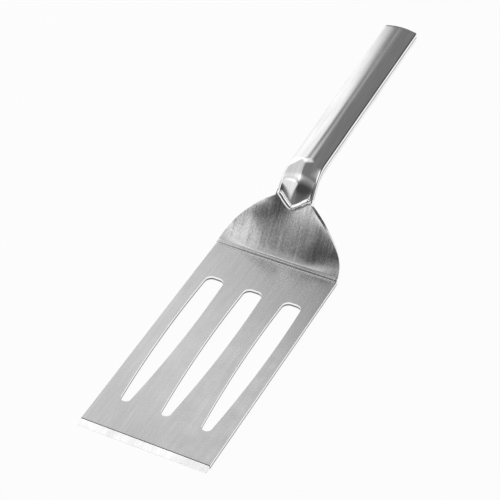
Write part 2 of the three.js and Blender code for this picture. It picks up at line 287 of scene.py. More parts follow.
class SheetForm:
    """Upper face of the blade's sheet, by the distance along it from the crease and the place across it."""

    def __init__(self, scene):
        blade, neck = scene.spatula_blade, scene.spatula_neck
        self.neck = neck
        self.sheet = blade.sheet
        self.rise = scene.spatula_handle.rise
        self.crease_x = BLADE_LOW.x + blade.length
        self.blade_half = BLADE_HIGH.y
        ramp = self.set_fold(neck)
        fold_run = neck.fold_radius * neck.fold_angle
        ease_run = neck.ease_radius * (neck.shoulder_angle - neck.fold_angle)
        bend_run = neck.bend_radius * (neck.shoulder_angle - self.rise)
        self.fold_end = fold_run
        self.ease_end = self.fold_end + ease_run
        self.bend_start = self.ease_end + ramp
        self.bend_end = self.bend_start + bend_run
        self.tang_end = self.bend_end + neck.tang_length
        self.neck_end = self.bend_start + neck.reach
        self.runs = (
            (fold_run, 1 / neck.fold_radius),
            (ease_run, 1 / neck.ease_radius),
            (ramp, 0),
            (bend_run, -1 / neck.bend_radius),
            (math.inf, 0),
        )

    def set_fold(self, neck):
        """Places the fold so that the ramp lies as if after one plain bend, and returns its length."""
        ease_angle = neck.shoulder_angle - neck.fold_angle
        plain = neck.crease_radius * math.tan(neck.shoulder_angle / 2)
        fold = neck.fold_radius * math.tan(neck.fold_angle / 2)
        ease = neck.ease_radius * math.tan(ease_angle / 2)
        joint = (fold + ease) / math.sin(neck.shoulder_angle)
        self.fold_x = self.crease_x + plain - fold - joint * math.sin(ease_angle)
        return neck.shoulder_length + plain - ease - joint * math.sin(neck.fold_angle)

    def line(self, s):
        """Place and slope of the middle of the sheet."""
        x, z, tilt = self.fold_x + min(s, 0), self.sheet, 0
        for run, curvature in self.runs:
            part = clamp(s, 0, run)
            s -= run
            turned = tilt + part * curvature
            if curvature:
                x += (math.sin(turned) - math.sin(tilt)) / curvature
                z += (math.cos(tilt) - math.cos(turned)) / curvature
            else:
                x += part * math.cos(tilt)
                z += part * math.sin(tilt)
            tilt = turned
        return x, z, tilt

    def half_width(self, s):
        narrowed = clamp(s / self.neck_end, 0, 1) ** self.neck.fullness
        return mix(self.blade_half, self.neck.width / 2, narrowed)

    def lift(self, s, y):
        """Height of the pressed form off the plain sheet: wings that turn down, and a trough."""
        neck = self.neck
        along = clamp(s / self.neck_end, 0, 1)
        trough = along**neck.trough_onset * neck.trough_depth * abs(2 * y / neck.width) ** neck.trough_power
        past = abs(y) - neck.wing_start - neck.wing_sweep * s
        eased = (past + math.hypot(past, neck.wing_ease)) / 2
        return trough - smooth(clamp(s / neck.wing_onset, 0, 1)) * math.tan(neck.wing_tilt) * eased

    def point(self, s, y):
        x, z, tilt = self.line(s)
        lift = self.lift(s, y)
        return Vector((x - lift * math.sin(tilt), y, z + lift * math.cos(tilt)))

    def mouth(self, y):
        """The x of the edge of the handle's mouth, whose tip lies forward on the middle of the sheet."""
        round_tip = self.neck.mouth_round
        back = math.hypot(y, round_tip) - round_tip
        return SHELL_LOW.x + self.neck.mouth_sweep * back / (self.neck.width / 2)

    def crease_ridge(self, s):
        """Height of the fine ridge that the press leaves along the upper side of the fold."""
        along = clamp((s - self.fold_end) / self.neck.ridge_width, 0, 1)
        return self.neck.ridge_height * math.sin(math.pi * along) ** 2

    def normal(self, s, y):
        along = self.point(s + SHEET_STEP, y) - self.point(s - SHEET_STEP, y)
        across = self.point(s, y + SHEET_STEP) - self.point(s, y - SHEET_STEP)
        return along.cross(across).normalized()

    def station(self, x, y):
        """Distance along the sheet, or along its straight past the tang, at which it passes a given x."""
        low, high = self.ease_end, self.tang_end + SHELL_HIGH.x - SHELL_LOW.x
        for _ in range(HALVINGS):
            middle = (low + high) / 2
            if self.point(middle, y).x < x:
                low = middle
            else:
                high = middle
        return low

    def height(self, x, y):
        return self.point(self.station(x, y), y).z


class HandleForm:
    """Outer surface of the handle, by upright cross-sections along it."""

    def __init__(self, scene, sheet):
        sizes = scene.spatula_handle
        self.sizes = sizes
        self.sheet = sheet
        self.mouth_x, self.end_x = SHELL_LOW.x, SHELL_HIGH.x
        self.slope = math.tan(sizes.rise)
        self.start_x, self.start_z, _ = sheet.line(sheet.bend_end)
        self.seat = sizes.clearance + sizes.wall
        self.slanted_sheet = sheet.sheet / math.cos(sheet.neck.shoulder_angle)
        self.mouth_crest = sheet.height(self.mouth_x, 0) + self.seat
        self.nose_slope = math.tan(sizes.nose_angle)
        climb = self.straight_crest(self.mouth_x) - self.mouth_crest
        meet = self.mouth_x + climb / (self.nose_slope - self.slope)
        tangent = sizes.nose_radius * math.tan((sizes.nose_angle - sizes.rise) / 2)
        self.arc_start = meet - tangent * math.cos(sizes.nose_angle)
        self.nose_end = meet + tangent * math.cos(sizes.rise)
        side = sheet.neck.width / 2
        rim = sheet.height(sheet.mouth(side), side) - sheet.height(self.mouth_x, 0)
        self.edge_drop = self.straight_edge(self.mouth_x) - self.mouth_crest - rim
        self.foot_drop = self.straight_edge(self.mouth_x) - sizes.flank - self.keel(self.mouth_x) - rim

    def straight_crest(self, x):
        keel = self.start_z - self.sheet.sheet - self.seat + (x - self.start_x) * self.slope
        return keel + self.sizes.depth

    def straight_edge(self, x):
        return self.straight_crest(x) - self.sizes.crown

    def along_nose(self, x):
        return clamp((x - self.mouth_x) / (self.nose_end - self.mouth_x), 0, 1)

    def body_share(self, x):
        return smooth(self.along_nose(x))

    def crest(self, x):
        sizes = self.sizes
        if x <= self.arc_start:
            return self.mouth_crest + (x - self.mouth_x) * self.nose_slope
        if x >= self.nose_end:
            return self.straight_crest(x)
        middle_x = self.nose_end + sizes.nose_radius * math.sin(sizes.rise)
        middle_z = self.straight_crest(self.nose_end) - sizes.nose_radius * math.cos(sizes.rise)
        return middle_z + math.sqrt(sizes.nose_radius**2 - (x - middle_x) ** 2)

    def keel(self, x):
        sheet = mix(self.slanted_sheet, self.sheet.sheet, self.body_share(x))
        return self.sheet.height(x, 0) - sheet - self.seat

    def edge(self, x):
        return self.straight_edge(x) - self.edge_drop * (1 - self.along_nose(x)) ** 2

    def foot(self, x):
        lift = self.foot_drop * (1 - self.along_nose(x)) ** 2
        return self.straight_edge(x) - self.sizes.flank - lift

    def half_width(self, x):
        along = (x - self.mouth_x) / (self.end_x - self.mouth_x)
        body = mix(self.sizes.front_width, self.sizes.back_width, along)
        return mix(self.sheet.neck.width, body, self.body_share(x)) / 2

    def across(self, x, y):
        return min(abs(y) / self.half_width(x), 1)

    def top(self, x, y):
        power = mix(self.sizes.mouth_power, 2, self.body_share(x))
        return mix(self.crest(x), self.edge(x), self.across(x, y) ** power)

    def bottom(self, x, y):
        t = self.across(x, y)
        bowl = mix(t**self.sheet.neck.trough_power, 1 - math.sqrt(1 - t * t), self.body_share(x))
        return mix(self.keel(x), self.foot(x), bowl)

    def middle(self, x, y):
        return (self.top(x, y) + self.bottom(x, y)) / 2

    def stations(self):
        """Places along the handle, each with its share of the depth and its draw-in at the sides."""
        sizes = self.sizes
        arch_start = self.end_x - sizes.back_width / 2
        round_start = self.end_x - sizes.butt_round
        places = [self.mouth_x]
        places += spread(self.mouth_x, self.nose_end, NOSE_ROWS)
        places += spread(self.nose_end, arch_start, STRAIGHT_ROWS)
        places += spread(arch_start, round_start, ARCH_ROWS)
        rows = [(x, 1, 0) for x in places]
        for turn in spread(0, math.pi / 2, BUTT_ROWS):
            lost = 1 - math.cos(turn)
            x = self.end_x - sizes.butt_round * (1 - math.sin(turn))
            rows.append((x, 1 - 2 * sizes.butt_round * lost / sizes.depth, sizes.butt_side_round * lost))
        return rows

    def arched(self, x, y, half):
        """The x of a point, drawn in towards the sides at the butt and at the mouth."""
        near = smooth(clamp(1 - (self.end_x - x) / (self.sizes.back_width / 2), 0, 1))
        swept = self.sheet.mouth(y / half * self.sheet.neck.width / 2) - self.mouth_x
        return x - self.sizes.butt_arch * near * (y / half) ** 2 + swept * (1 - self.along_nose(x)) ** 2

    def upper_row(self, x, depth_share, drawn):
        """Points from the left seam over the crown to the right seam."""
        half = self.half_width(x) - drawn
        seam_z = self.middle(x, half) + self.sizes.seam_bead / 2
        lean = math.atan2(self.top(x, half - CROWN_STEP) - self.top(x, half), CROWN_STEP)
        drop = math.cos(lean) - (1 - math.sin(lean)) * math.tan(lean)
        radius = min(self.sizes.edge_round, EDGE_ROOM * (self.top(x, half) - seam_z) / drop)
        touch = half - radius * (1 - math.sin(lean))
        corner_z = self.top(x, touch) - radius * math.cos(lean)
        side = [(half, seam_z)] + [(half, z) for z in spread(seam_z, corner_z, FLANK_STEPS)]
        for turn in spread(math.pi / 2, lean, EDGE_STEPS):
            side.append((half - radius + radius * math.sin(turn), corner_z + radius * math.cos(turn)))
        crown = [(y, self.top(x, y)) for y in spread(touch, -touch, CROWN_STEPS)[:-1]]
        section = side + crown + [(-y, z) for y, z in reversed(side)]
        lift = self.sizes.seam_bead / 2
        return [self.pressed(x, y, z, half, depth_share, lift) for y, z in section]

    def lower_row(self, x, depth_share, drawn):
        """Points from the right seam round the underside to the left seam."""
        half = self.half_width(x) - drawn
        seam_z = self.middle(x, half) - self.sizes.seam_bead / 2
        side = [(-half, seam_z)] + [(-half, z) for z in spread(seam_z, self.foot(x), FLANK_STEPS)]
        turns = spread(math.pi, 0, BOWL_STEPS)[:-1]
        bowl = [(half * math.cos(turn), self.bottom(x, half * math.cos(turn))) for turn in turns]
        section = side + bowl + [(-y, z) for y, z in reversed(side)]
        lift = -self.sizes.seam_bead / 2
        return [self.pressed(x, y, z, half, depth_share, lift) for y, z in section]

    def pressed(self, x, y, z, half, depth_share, lift):
        """A point of a row, pressed towards the seam where the butt is rounded over."""
        base = self.middle(x, y) + lift
        return Vector((self.arched(x, y, half), y, mix(base, z, depth_share)))

    def seam_row(self, x, y, half, outward):
        """Three points across the seam bead, its middle a little proud."""
        lift = self.sizes.seam_bead / 2
        base = Vector((self.arched(x, y, half), y, self.middle(x, y)))
        proud = outward * self.sizes.seam_proud
        return [base - Vector((0, 0, lift)), base + proud, base + Vector((0, 0, lift))]


def clamp(value, low, high):
    return max(low, min(high, value))


def mix(a, b, t):
    return a + (b - a) * t


def smooth(t):
    return t * t * (3 - 2 * t)


def spread(start, end, count):
    """Evenly spaced values after start, up to and including end."""
    return [mix(start, end, (i + 1) / count) for i in range(count)]


def place_row(piece, row, points):
    """Moves the vertices of a row onto their points."""
    mesh = bmesh.from_edit_mesh(piece.data)
    mesh.verts.ensure_lookup_table()
    for index, point in zip(row, points):
        mesh.verts[index].co = point
    bmesh.update_edit_mesh(piece.data)


def extrude_row(piece, row, points):
    """Extrudes the selected row, moves the new vertices onto their points and returns their order."""
    bpy.ops.mesh.extrude_region_move()
    mesh = bmesh.from_edit_mesh(piece.data)
    mesh.verts.ensure_lookup_table()
    new_row = []
    for index in row:
        vertex = mesh.verts[index]
        partner = next(e.other_vert(vertex) for e in vertex.link_edges if e.other_vert(vertex).select)
        new_row.append(partner.index)
    place_row(piece, new_row, points)
    return new_row


def select_vertices(piece, test):
    """Selects the vertices that pass a test."""
    mesh = bmesh.from_edit_mesh(piece.data)
    for vertex in mesh.verts:
        vertex.select = test(vertex)
    mesh.select_flush_mode()
    bmesh.update_edit_mesh(piece.data)


def select_row(piece, row):
    """Selects the vertices of a row by their numbers."""
    chosen = set(row)
    select_vertices(piece, lambda vertex: vertex.index in chosen)


def loft(name, rows, closed):
    """Draws the first row from a circle, and extrudes it from row to row into a skin."""
    count = len(rows[0])
    bpy.ops.object.select_all(action="DESELECT")
    bpy.ops.mesh.primitive_circle_add(vertices=count, radius=MM, fill_type="NOTHING")
    piece = bpy.context.object
    piece.name = name
    bpy.ops.object.mode_set(mode="EDIT")
    bpy.ops.mesh.select_mode(type="VERT")
    row = list(range(count))
    place_row(piece, row, rows[0])
    if not closed:
        select_row(piece, [row[0], row[-1]])
        bpy.ops.mesh.delete(type="EDGE_FACE")
    select_row(piece, row)
    for points in rows[1:]:
        row = extrude_row(piece, row, points)
    if closed:
        bpy.ops.mesh.edge_face_add()
        select_row(piece, range(count))
        bpy.ops.mesh.edge_face_add()
    bpy.ops.mesh.select_all(action="SELECT")
    bpy.ops.mesh.remove_doubles(threshold=MERGE_DISTANCE)
    if closed:
        bpy.ops.mesh.normals_make_consistent(inside=False)
    else:
        bpy.ops.mesh.flip_normals()
    bpy.ops.object.mode_set(mode="OBJECT")
    return piece


def apply_modifier(piece, kind, **settings):
    """Adds a modifier with its settings, and applies it."""
    modifier = piece.modifiers.new(kind.title(), kind)
    for setting, value in settings.items():
        setattr(modifier, setting, value)
    bpy.context.view_layer.objects.active = piece
    bpy.ops.object.modifier_apply(modifier=modifier.name)


def thicken(piece, wall):
    """Gives a skin its wall, on the inside."""
    apply_modifier(piece, "SOLIDIFY", thickness=wall, offset=-1)


def shade(piece):
    """Smooth shading that keeps the real edges and the flat faces."""
    bpy.ops.object.select_all(action="DESELECT")
    piece.select_set(True)
    bpy.context.view_layer.objects.active = piece
    bpy.ops.object.shade_smooth_by_angle(angle=SMOOTH_ANGLE)
    apply_modifier(piece, "WEIGHTED_NORMAL", keep_sharp=True)


def finish_piece(piece, node, material):
    """Gives a piece its material, and puts it in the place of its node."""
    piece.data.materials.clear()
    piece.data.materials.append(material)
    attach(piece, BODY)
    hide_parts(node)


def slot_half_width(blade, along):
    """Half the width of a slot, by the distance from its back end."""
    back, front = blade.slot_back_width / 2, blade.slot_front_width / 2
    corner = blade.slot_corner
    if along < corner:
        return back - corner + math.sqrt(corner**2 - (corner - along) ** 2)
    left = blade.slot_length - along
    if left < front:
        return math.sqrt(front**2 - (front - left) ** 2)
    t = (along - corner) / (blade.slot_length - corner - front)
    belly = blade.slot_middle_width - (back + front) / 2
    return back * (1 - t) ** 2 + 2 * belly * t * (1 - t) + front * t**2


def slot_places(blade):
    """Distances from a slot's back end at which its width is set, closer together at its round ends."""
    quarter = spread(0, math.pi / 2, SLOT_END_STEPS)
    corner, front = blade.slot_corner, blade.slot_front_width / 2
    places = [SLOT_TIP * corner] + [corner * (1 - math.cos(turn)) for turn in quarter]
    places += spread(corner, blade.slot_length - front, SLOT_SIDE_STEPS)
    places += [blade.slot_length - front * (1 - math.sin(turn)) for turn in quarter[:-1]]
    return places + [blade.slot_length - SLOT_TIP * front]


def slot_cutter(blade, sheet, y):
    """A bar of the shape of a slot, taller than the sheet."""
    places = slot_places(blade)
    bpy.ops.object.select_all(action="DESELECT")
    bpy.ops.mesh.primitive_grid_add(x_subdivisions=len(places) - 1, y_subdivisions=1, size=1)
    cutter = bpy.context.object
    bpy.ops.object.mode_set(mode="EDIT")
    bpy.ops.mesh.select_mode(type="VERT")
    mesh = bmesh.from_edit_mesh(cutter.data)
    columns = sorted(mesh.verts, key=lambda vertex: vertex.co.x)
    back_x = sheet.crease_x - blade.slot_setback
    for number, along in enumerate(places):
        half = slot_half_width(blade, along)
        for vertex in columns[2 * number : 2 * number + 2]:
            vertex.co = (back_x - along, y + math.copysign(half, vertex.co.y), -blade.sheet)
    bmesh.update_edit_mesh(cutter.data)
    bpy.ops.mesh.select_all(action="SELECT")
    bpy.ops.mesh.extrude_region_move(TRANSFORM_OT_translate={"value": (0, 0, 3 * blade.sheet)})
    bpy.ops.mesh.select_all(action="SELECT")
    bpy.ops.mesh.normals_make_consistent(inside=False)
    bpy.ops.object.mode_set(mode="OBJECT")
    return cutter


def block(middle, size):
    """A box by its middle and its size."""
    bpy.ops.object.select_all(action="DESELECT")
    bpy.ops.mesh.primitive_cube_add(size=1, location=middle, scale=size)
    bpy.ops.object.transform_apply(location=True, rotation=True, scale=True)
    return bpy.context.object


def flat_plate(blade, sheet):
    """The flat of the blade, with its ground front edge and a divided back edge, in edit mode."""
    middle = ((BLADE_LOW.x + sheet.fold_x) / 2, 0, blade.sheet / 2)
    plate = block(middle, (sheet.fold_x - BLADE_LOW.x, 2 * sheet.blade_half, blade.sheet))
    bpy.ops.object.mode_set(mode="EDIT")
    bpy.ops.mesh.select_mode(type="VERT")
    bevel_x = BLADE_LOW.x + blade.bevel_length
    for x in (bevel_x, bevel_x + blade.burr_width):
        bpy.ops.mesh.select_all(action="SELECT")
        bpy.ops.mesh.bisect(plane_co=(x, 0, 0), plane_no=(1, 0, 0))
    lifts = {BLADE_LOW.x: blade.bevel_lip - blade.sheet, bevel_x: blade.burr_height}
    for x, lift in lifts.items():
        select_vertices(plate, lambda v: abs(v.co.x - x) < NEAR and v.co.z > blade.sheet - NEAR)
        bpy.ops.transform.translate(value=(0, 0, lift))
    mesh = bmesh.from_edit_mesh(plate.data)
    for edge in mesh.edges:
        ends = [vertex.co for vertex in edge.verts]
        at_back = all(co.x > sheet.fold_x - NEAR for co in ends)
        edge.select_set(at_back and abs(ends[0].y - ends[1].y) > NEAR)
    bmesh.update_edit_mesh(plate.data)
    bpy.ops.mesh.select_mode(type="EDGE")
    bpy.ops.mesh.subdivide(number_cuts=SHEET_COLUMNS - 1)
    bpy.ops.mesh.select_mode(type="VERT")
    return plate


def tang_cutter(sheet, side):
    """A block that cuts the sheet down to the tang on one side, from the mouth of the handle on."""
    inner, outer = sheet.neck.tang_width / 2, sheet.blade_half
    reach = sheet.tang_end
    middle_x = SHELL_LOW.x + sheet.neck.mouth_sweep + reach / 2
    return block((middle_x, side * (inner + outer) / 2, reach / 2), (reach, outer - inner, reach))


def raise_shoulder(plate, blade, sheet):
    """Extrudes the back edge of the plate up the shoulder and through the neck to the end of the tang."""
    select_vertices(plate, lambda vertex: vertex.co.x > sheet.fold_x - NEAR)
    mesh = bmesh.from_edit_mesh(plate.data)
    back = [vertex for vertex in mesh.verts if vertex.select]
    back.sort(key=lambda vertex: (vertex.co.z > blade.sheet / 2, vertex.co.y))
    shares = [(vertex.co.y / sheet.blade_half, vertex.co.z > blade.sheet / 2) for vertex in back]
    row = [vertex.index for vertex in back]

    ridge_end = sheet.fold_end + sheet.neck.ridge_width
    stations = spread(0, sheet.fold_end, CREASE_ROWS)
    stations += spread(sheet.fold_end, ridge_end, RIDGE_ROWS)
    stations += spread(ridge_end, sheet.ease_end, CREASE_ROWS)
    stations += spread(sheet.ease_end, sheet.neck_end, SHOULDER_ROWS)
    stations += spread(sheet.neck_end, sheet.bend_end, BEND_ROWS)
    for s in [*stations, sheet.tang_end]:
        half = sheet.half_width(s)
        heights = {True: sheet.crease_ridge(s), False: -blade.sheet}
        places = [(half * across, heights[upper]) for across, upper in shares]
        points = [sheet.point(s, y) + sheet.normal(s, y) * height for y, height in places]
        row = extrude_row(plate, row, points)


def neck_bead_rows(scene, sheet, side):
    """Rings of a weld bead that lies along the mouth of the handle, over or under the sheet."""
    sizes = scene.spatula_handle
    height = sizes.neck_bead_lift if side > 0 else -sheet.sheet - sizes.neck_bead_lift
    full = sizes.neck_bead_radius
    rim = sheet.neck.width / 2
    end = rim - full / 2 - height * sheet.normal(sheet.bend_start, rim).y

    def middle(y):
        lean = sheet.normal(sheet.bend_start, y).x
        s = sheet.station(sheet.mouth(y) - sizes.neck_bead_lead - height * lean, y)
        return sheet.point(s, y) + sheet.normal(s, y) * height, sheet.normal(s, y)

    rows = []
    for t in [-1, *spread(-1, 1, BEAD_ROWS)]:
        y = end * math.sin(t * math.pi / 2)
        centre, up = middle(y)
        along = (middle(y + BEAD_STEP)[0] - middle(y - BEAD_STEP)[0]).normalized()
        out = along.cross(up).normalized()
        up = out.cross(along)
        past = max(0, abs(y) - end + full)
        radius = math.sqrt(max(full**2 - past**2, (BEAD_TIP * full) ** 2))
        turns = [2 * math.pi * i / BEAD_SIDES for i in range(BEAD_SIDES)]
        rows.append([centre + (out * math.cos(a) + up * math.sin(a)) * radius for a in turns])
    return rows


class NodeDesk:
    """Places and links the nodes of one node tree."""

    def __init__(self, tree):
        self.tree = tree

    def add(self, kind, **settings):
        node = self.tree.nodes.new(kind)
        for setting, value in settings.items():
            setattr(node, setting, value)
        return node

    def feed(self, source, target):
        """Links a socket to its source, or sets it to a plain value."""
        if isinstance(source, bpy.types.NodeSocket):
            self.tree.links.new(source, target)
        else:
            target.default_value = source

    def math(self, operation, *sources, **settings):
        """The sum, product or the like of sockets and plain numbers."""
        node = self.add("ShaderNodeMath", operation=operation, **settings)
        for source, target in zip(sources, node.inputs):
            self.feed(source, target)
        return node.outputs["Value"]

    def ranged(self, source, given, wanted, **settings):
        """A value moved from the given range to the wanted one."""
        node = self.add("ShaderNodeMapRange", **settings)
        self.feed(source, node.inputs["Value"])
        for limit, number in zip(("From Min", "From Max", "To Min", "To Max"), (*given, *wanted)):
            self.feed(number, node.inputs[limit])
        return node.outputs["Result"]

    def axes(self, source):
        """The three axes of a vector."""
        node = self.add("ShaderNodeSeparateXYZ")
        self.feed(source, node.inputs["Vector"])
        return node.outputs

    def insert(self, operation, source, target):
        """Puts a sum or a product with a source between a socket and what feeds it."""
        self.feed(self.math(operation, target.links[0].from_socket, source), target)


def new_group(name, inputs, outputs):
    """A node group with nothing but its sockets, which are given by name and kind."""
    group = bpy.data.node_groups.new(name, "ShaderNodeTree")
    for side, sockets in (("INPUT", inputs), ("OUTPUT", outputs)):
        for socket, kind in sockets.items():
            group.interface.new_socket(socket, in_out=side, socket_type="NodeSocket" + kind)
    return group


def grain_group():
    """Marks of grinding, from the coordinates: fine lines, broader streaks along the tool, and blotches."""
    name = "steel_grain"
    if name in bpy.data.node_groups:
        return bpy.data.node_groups[name]
    counts = {kind + " per Metre": "Float" for kind in GRAIN_KINDS}
    group = new_group(name, {"Coordinates": "Vector", **counts}, dict.fromkeys(GRAIN_KINDS, "Float"))
    desk = NodeDesk(group)
    given = desk.add("NodeGroupInput").outputs
    result = desk.add("NodeGroupOutput").inputs
    for kind, shrink in GRAIN_KINDS.items():
        stretch = desk.add("ShaderNodeMapping")
        noise = desk.add("ShaderNodeTexNoise")
        desk.feed(given["Coordinates"], stretch.inputs["Vector"])
        desk.feed((shrink, 1, shrink), stretch.inputs["Scale"])
        desk.feed(stretch.outputs["Vector"], noise.inputs["Vector"])
        desk.feed(given[kind + " per Metre"], noise.inputs["Scale"])
        desk.feed(GRAIN_DETAIL, noise.inputs["Detail"])
        desk.feed(GRAIN_ROUGHNESS, noise.inputs["Roughness"])
        desk.feed(noise.outputs["Fac"], result[kind])
    return group


def grinding_marks(desk, place, counts):
    """The marks of each kind at a place, with so many of them per metre."""
    grain = desk.add("ShaderNodeGroup", node_tree=grain_group())
    desk.feed(place, grain.inputs["Coordinates"])
    for kind, count in zip(GRAIN_KINDS, counts):
        desk.feed(count, grain.inputs[kind + " per Metre"])
    return grain.outputs


def steel(name, colour, roughness):
    """A steel finish whose colour, roughness and relief follow its grinding marks."""
    counts, tint, gloss, relief = FINISH_MARKS[name]
    material = bpy.data.materials.new(name)
    material.use_nodes = True
    desk = NodeDesk(material.node_tree)
    shader = material.node_tree.nodes["Principled BSDF"].inputs
    grain = grinding_marks(desk, desk.add("ShaderNodeTexCoord").outputs["Object"], counts)
    marks = desk.math("ADD", grain["Lines"], grain["Streaks"])
    shine = desk.math("ADD", grain["Lines"], grain["Blotches"])
    tinted = desk.add("ShaderNodeVectorMath", name="tinted", operation="SCALE")
    bump = desk.add("ShaderNodeBump")
    desk.feed(colour, tinted.inputs[0])
    desk.feed(desk.ranged(marks, GRAIN_SUM, (1 - tint, 1 + tint)), tinted.inputs["Scale"])
    desk.feed(relief, bump.inputs["Strength"])
    desk.feed(GRAIN_DEPTH, bump.inputs["Distance"])
    desk.feed(grain["Lines"], bump.inputs["Height"])
    desk.feed(1, shader["Metallic"])
    desk.feed(tinted.outputs["Vector"], shader["Base Color"])
    desk.feed(desk.ranged(shine, GRAIN_SUM, (roughness - gloss, roughness + gloss)), shader["Roughness"])
    desk.feed(bump.outputs["Normal"], shader["Normal"])
    return material


def paint_edge_highlight_and_shade(material, blade):
    """Paints highlights on the bevel and the upright cut edges by brightening their colour, and paints
    shade on the burr strip and the foot of the cuts by darkening it.
    """
    desk = NodeDesk(material.node_tree)
    place = desk.add("ShaderNodeTexCoord").outputs
    x, _, z = desk.axes(place["Object"])
    slope = desk.math("ABSOLUTE", desk.axes(place["Normal"])["Z"])
    bevel_x = BLADE_LOW.x + blade.bevel_length
    burr_x = bevel_x + blade.burr_width
    ground = desk.ranged(x, (bevel_x - LIMIT_SOFTNESS, bevel_x), (1, 0))
    front = desk.ranged(x, (burr_x - LIMIT_SOFTNESS, burr_x), (1, 0))
    low = desk.ranged(z, (blade.painted_shade_band, blade.painted_shade_band + LIMIT_SOFTNESS), (1, 0))
    upright = desk.ranged(slope, UPRIGHT_RANGE, (1, 0))
    # Painted highlight: the bevel and the upright faces, found by their slope, are brightened in colour.
    highlight_mask = desk.math("MAXIMUM", upright, ground)
    # Painted shade: the foot of the upright cuts and the burr strip along the top of the bevel are darkened
    # in colour.
    foot = desk.math("MULTIPLY", desk.math("SUBTRACT", upright, ground, use_clamp=True), low)
    shade_mask = desk.math("MAXIMUM", foot, desk.math("SUBTRACT", front, ground))
    level = material.node_tree.nodes["tinted"].inputs["Scale"]
    # Brightening here is painted highlight, and darkening is painted shade.
    desk.insert("MULTIPLY", desk.ranged(highlight_mask, (0, 1), (1, blade.painted_highlight_level)), level)
    desk.insert("MULTIPLY", desk.ranged(shade_mask, (0, 1), (1, blade.painted_shade_level)), level)


def mottle_shoulder(material, blade, strength):
    """Adds coarser marks to the raised part of the blade, where the press has drawn the sheet."""
    desk = NodeDesk(material.node_tree)
    place = desk.add("ShaderNodeTexCoord").outputs["Object"]
    grain = grinding_marks(desk, place, MOTTLE_COUNTS)
    marks = desk.math("ADD", grain["Streaks"], grain["Blotches"])
    onset = [height * blade.sheet for height in MOTTLE_ONSET]
    raised = desk.ranged(desk.axes(place)["Z"], onset, (0, 1))
    amount = desk.math("MULTIPLY", desk.ranged(marks, GRAIN_SUM, (-strength, strength)), raised)
    desk.insert("ADD", amount, material.node_tree.nodes["tinted"].inputs["Scale"])


def dull_towards_butt(material, added):
    """Makes the polish of the handle duller towards its butt."""
    desk = NodeDesk(material.node_tree)
    x, _, _ = desk.axes(desk.add("ShaderNodeTexCoord").outputs["Object"])
    wear = desk.ranged(x, (mix(SHELL_LOW.x, SHELL_HIGH.x, DULL_ONSET), SHELL_HIGH.x), (0, added))
    desk.insert("ADD", wear, material.node_tree.nodes["Principled BSDF"].inputs["Roughness"])


def brushed_steel(scene):
    finish = scene.spatula_finish
    material = steel("brushed_steel", finish.blade_colour, finish.blade_roughness)
    # Painted highlight on the bevel and cut edges, and painted shade on the burr and at the foot of the
    # cuts.
    paint_edge_highlight_and_shade(material, scene.spatula_blade)
    mottle_shoulder(material, scene.spatula_blade, finish.shoulder_mottle)
    return material


def polished_steel(scene):
    finish = scene.spatula_finish
    material = steel("polished_steel", finish.handle_colour, finish.handle_roughness)
    dull_towards_butt(material, finish.butt_dullness)
    return material


# Steel for the real seam bead, in a dark colour that is painted shade for the shadowed floor reflected
# along the lower flank.
def seam_painted_shade_steel(scene):
    finish = scene.spatula_finish
    return steel("seam_painted_shade_steel", finish.seam_painted_shade_colour, finish.seam_roughness)


def polished_weld(scene):
    finish = scene.spatula_finish
    return steel("polished_weld", finish.weld_colour, finish.weld_roughness)


def floor_material(studio):
    """Pale floor that looks white to the eye and in the steel, and still takes a shadow."""
    material = bpy.data.materials.new("pale_floor")
    material.use_nodes = True
    desk = NodeDesk(material.node_tree)
    surface = material.node_tree.nodes["Principled BSDF"]
    desk.feed((*studio.floor_colour, 1), surface.inputs["Base Color"])
    desk.feed(FLOOR_ROUGHNESS, surface.inputs["Roughness"])
    desk.feed(0, surface.inputs["Specular IOR Level"])
    ray = desk.add("ShaderNodeLightPath").outputs
    seen = desk.math("MAXIMUM", ray["Is Camera Ray"], ray["Is Glossy Ray"])
    seen_through = desk.math("MAXIMUM", seen, ray["Is Transmission Ray"])
    blend = desk.add("ShaderNodeMixShader")
    desk.feed(desk.math("MULTIPLY", seen_through, studio.floor_glow), blend.inputs["Fac"])
    desk.feed(surface.outputs["BSDF"], blend.inputs[1])
    desk.feed(desk.add("ShaderNodeEmission").outputs["Emission"], blend.inputs[2])
    desk.feed(blend.outputs["Shader"], material.node_tree.nodes["Material Output"].inputs["Surface"])
    return material


def direction(azimuth, elevation):
    """Unit vector by its azimuth from +X towards +Y, and its elevation, both in degrees."""
    turn, climb = math.radians(azimuth), math.radians(elevation)
    return Vector((math.cos(turn) * math.cos(climb), math.sin(turn) * math.cos(climb), math.sin(climb)))


def soft_edge_group():
    """How bright a soft box is at each place of its face, from nothing at its edges to full inside them."""
    name = "soft_edge"
    if name in bpy.data.node_groups:
        return bpy.data.node_groups[name]
    group = new_group(name, {"Edge": "Float"}, {"Level": "Float"})
    desk = NodeDesk(group)
    edge = desk.add("NodeGroupInput").outputs["Edge"]
    across, up, _ = desk.axes(desk.add("ShaderNodeTexCoord").outputs["UV"])
    inwards = [desk.math("PINGPONG", place, FACE_MIDDLE) for place in (across, up)]
    eased = [desk.ranged(place, (0, edge), (0, 1), interpolation_type="SMOOTHSTEP") for place in inwards]
    desk.feed(desk.math("MULTIPLY", *eased), desk.add("NodeGroupOutput").inputs["Level"])
    return group


